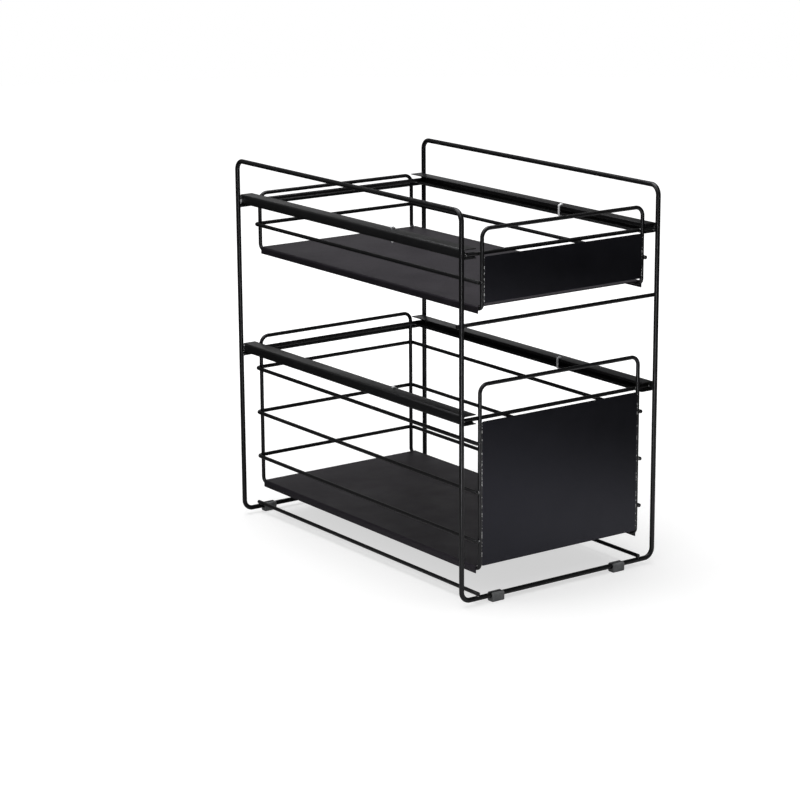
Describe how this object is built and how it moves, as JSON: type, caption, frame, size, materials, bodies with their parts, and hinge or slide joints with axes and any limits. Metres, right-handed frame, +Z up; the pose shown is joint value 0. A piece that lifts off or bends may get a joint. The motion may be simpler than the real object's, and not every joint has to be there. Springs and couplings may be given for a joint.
{
  "type": "cabinet organizer with drawers",
  "caption": "Free-standing cabinet organizer: black bent-wire frame with pull-out wire baskets, a shallow one above a deep one, on channel rails.",
  "frame": {"origin": "on the floor under the middle of the overall box, in the plane of the feet's undersides", "axes": "+Z up; +X to the right seen from the front; the drawers open towards -Y"},
  "size_m": [0.25, 0.405, 0.395],
  "materials": {
    "wire_coat": "satin black powder coat on round wire",
    "rail_coat": "satin black powder coat on folded rails",
    "runner_coat": "black powder coat, rubbed along the sliding faces",
    "tray_coat": "fine matt black powder coat on sheet",
    "panel_coat": "fine satin black powder coat on sheet",
    "zinc": "bright zinc plate",
    "foot_rubber": "matt dark grey rubber"
  },
  "bodies": {
    "frame": {"frame_loop": "wire_coat", "base_wire_left": "wire_coat", "base_wire_right": "wire_coat", "mid_crossbar": "wire_coat", "rear_crossbar_upper": "wire_coat", "rear_crossbar_lower": "wire_coat", "rail_upper_left": "rail_coat", "rail_upper_right": "rail_coat", "rail_lower_left": "rail_coat", "rail_lower_right": "rail_coat", "strap_upper_left": "zinc", "strap_upper_right": "zinc", "strap_lower_left": "zinc", "strap_lower_right": "zinc", "foot_front_left": "foot_rubber", "foot_front_right": "foot_rubber", "foot_rear_left": "foot_rubber", "foot_rear_right": "foot_rubber"},
    "upper_drawer": {"upper_basket_loop": "wire_coat", "upper_front_bar": "wire_coat", "upper_rear_bar": "wire_coat", "upper_runner_left": "runner_coat", "upper_runner_right": "runner_coat", "upper_tray": "tray_coat", "upper_panel": "panel_coat", "upper_side_wire": "wire_coat"},
    "lower_drawer": {"lower_basket_loop": "wire_coat", "lower_front_bar": "wire_coat", "lower_rear_bar": "wire_coat", "lower_runner_left": "runner_coat", "lower_runner_right": "runner_coat", "lower_tray": "tray_coat", "lower_panel": "panel_coat", "lower_side_wire_top": "wire_coat", "lower_side_wire_middle": "wire_coat", "lower_side_wire_bottom": "wire_coat"}
  },
  "joints": [
    {"name": "upper_slide", "type": "slide", "parent": "frame", "child": "upper_drawer", "axis": [0, -1, 0], "range_m": [-0.003, 0.2471]},
    {"name": "lower_slide", "type": "slide", "parent": "frame", "child": "lower_drawer", "axis": [0, -1, 0], "range_m": [0, 0.2501]}
  ]
}
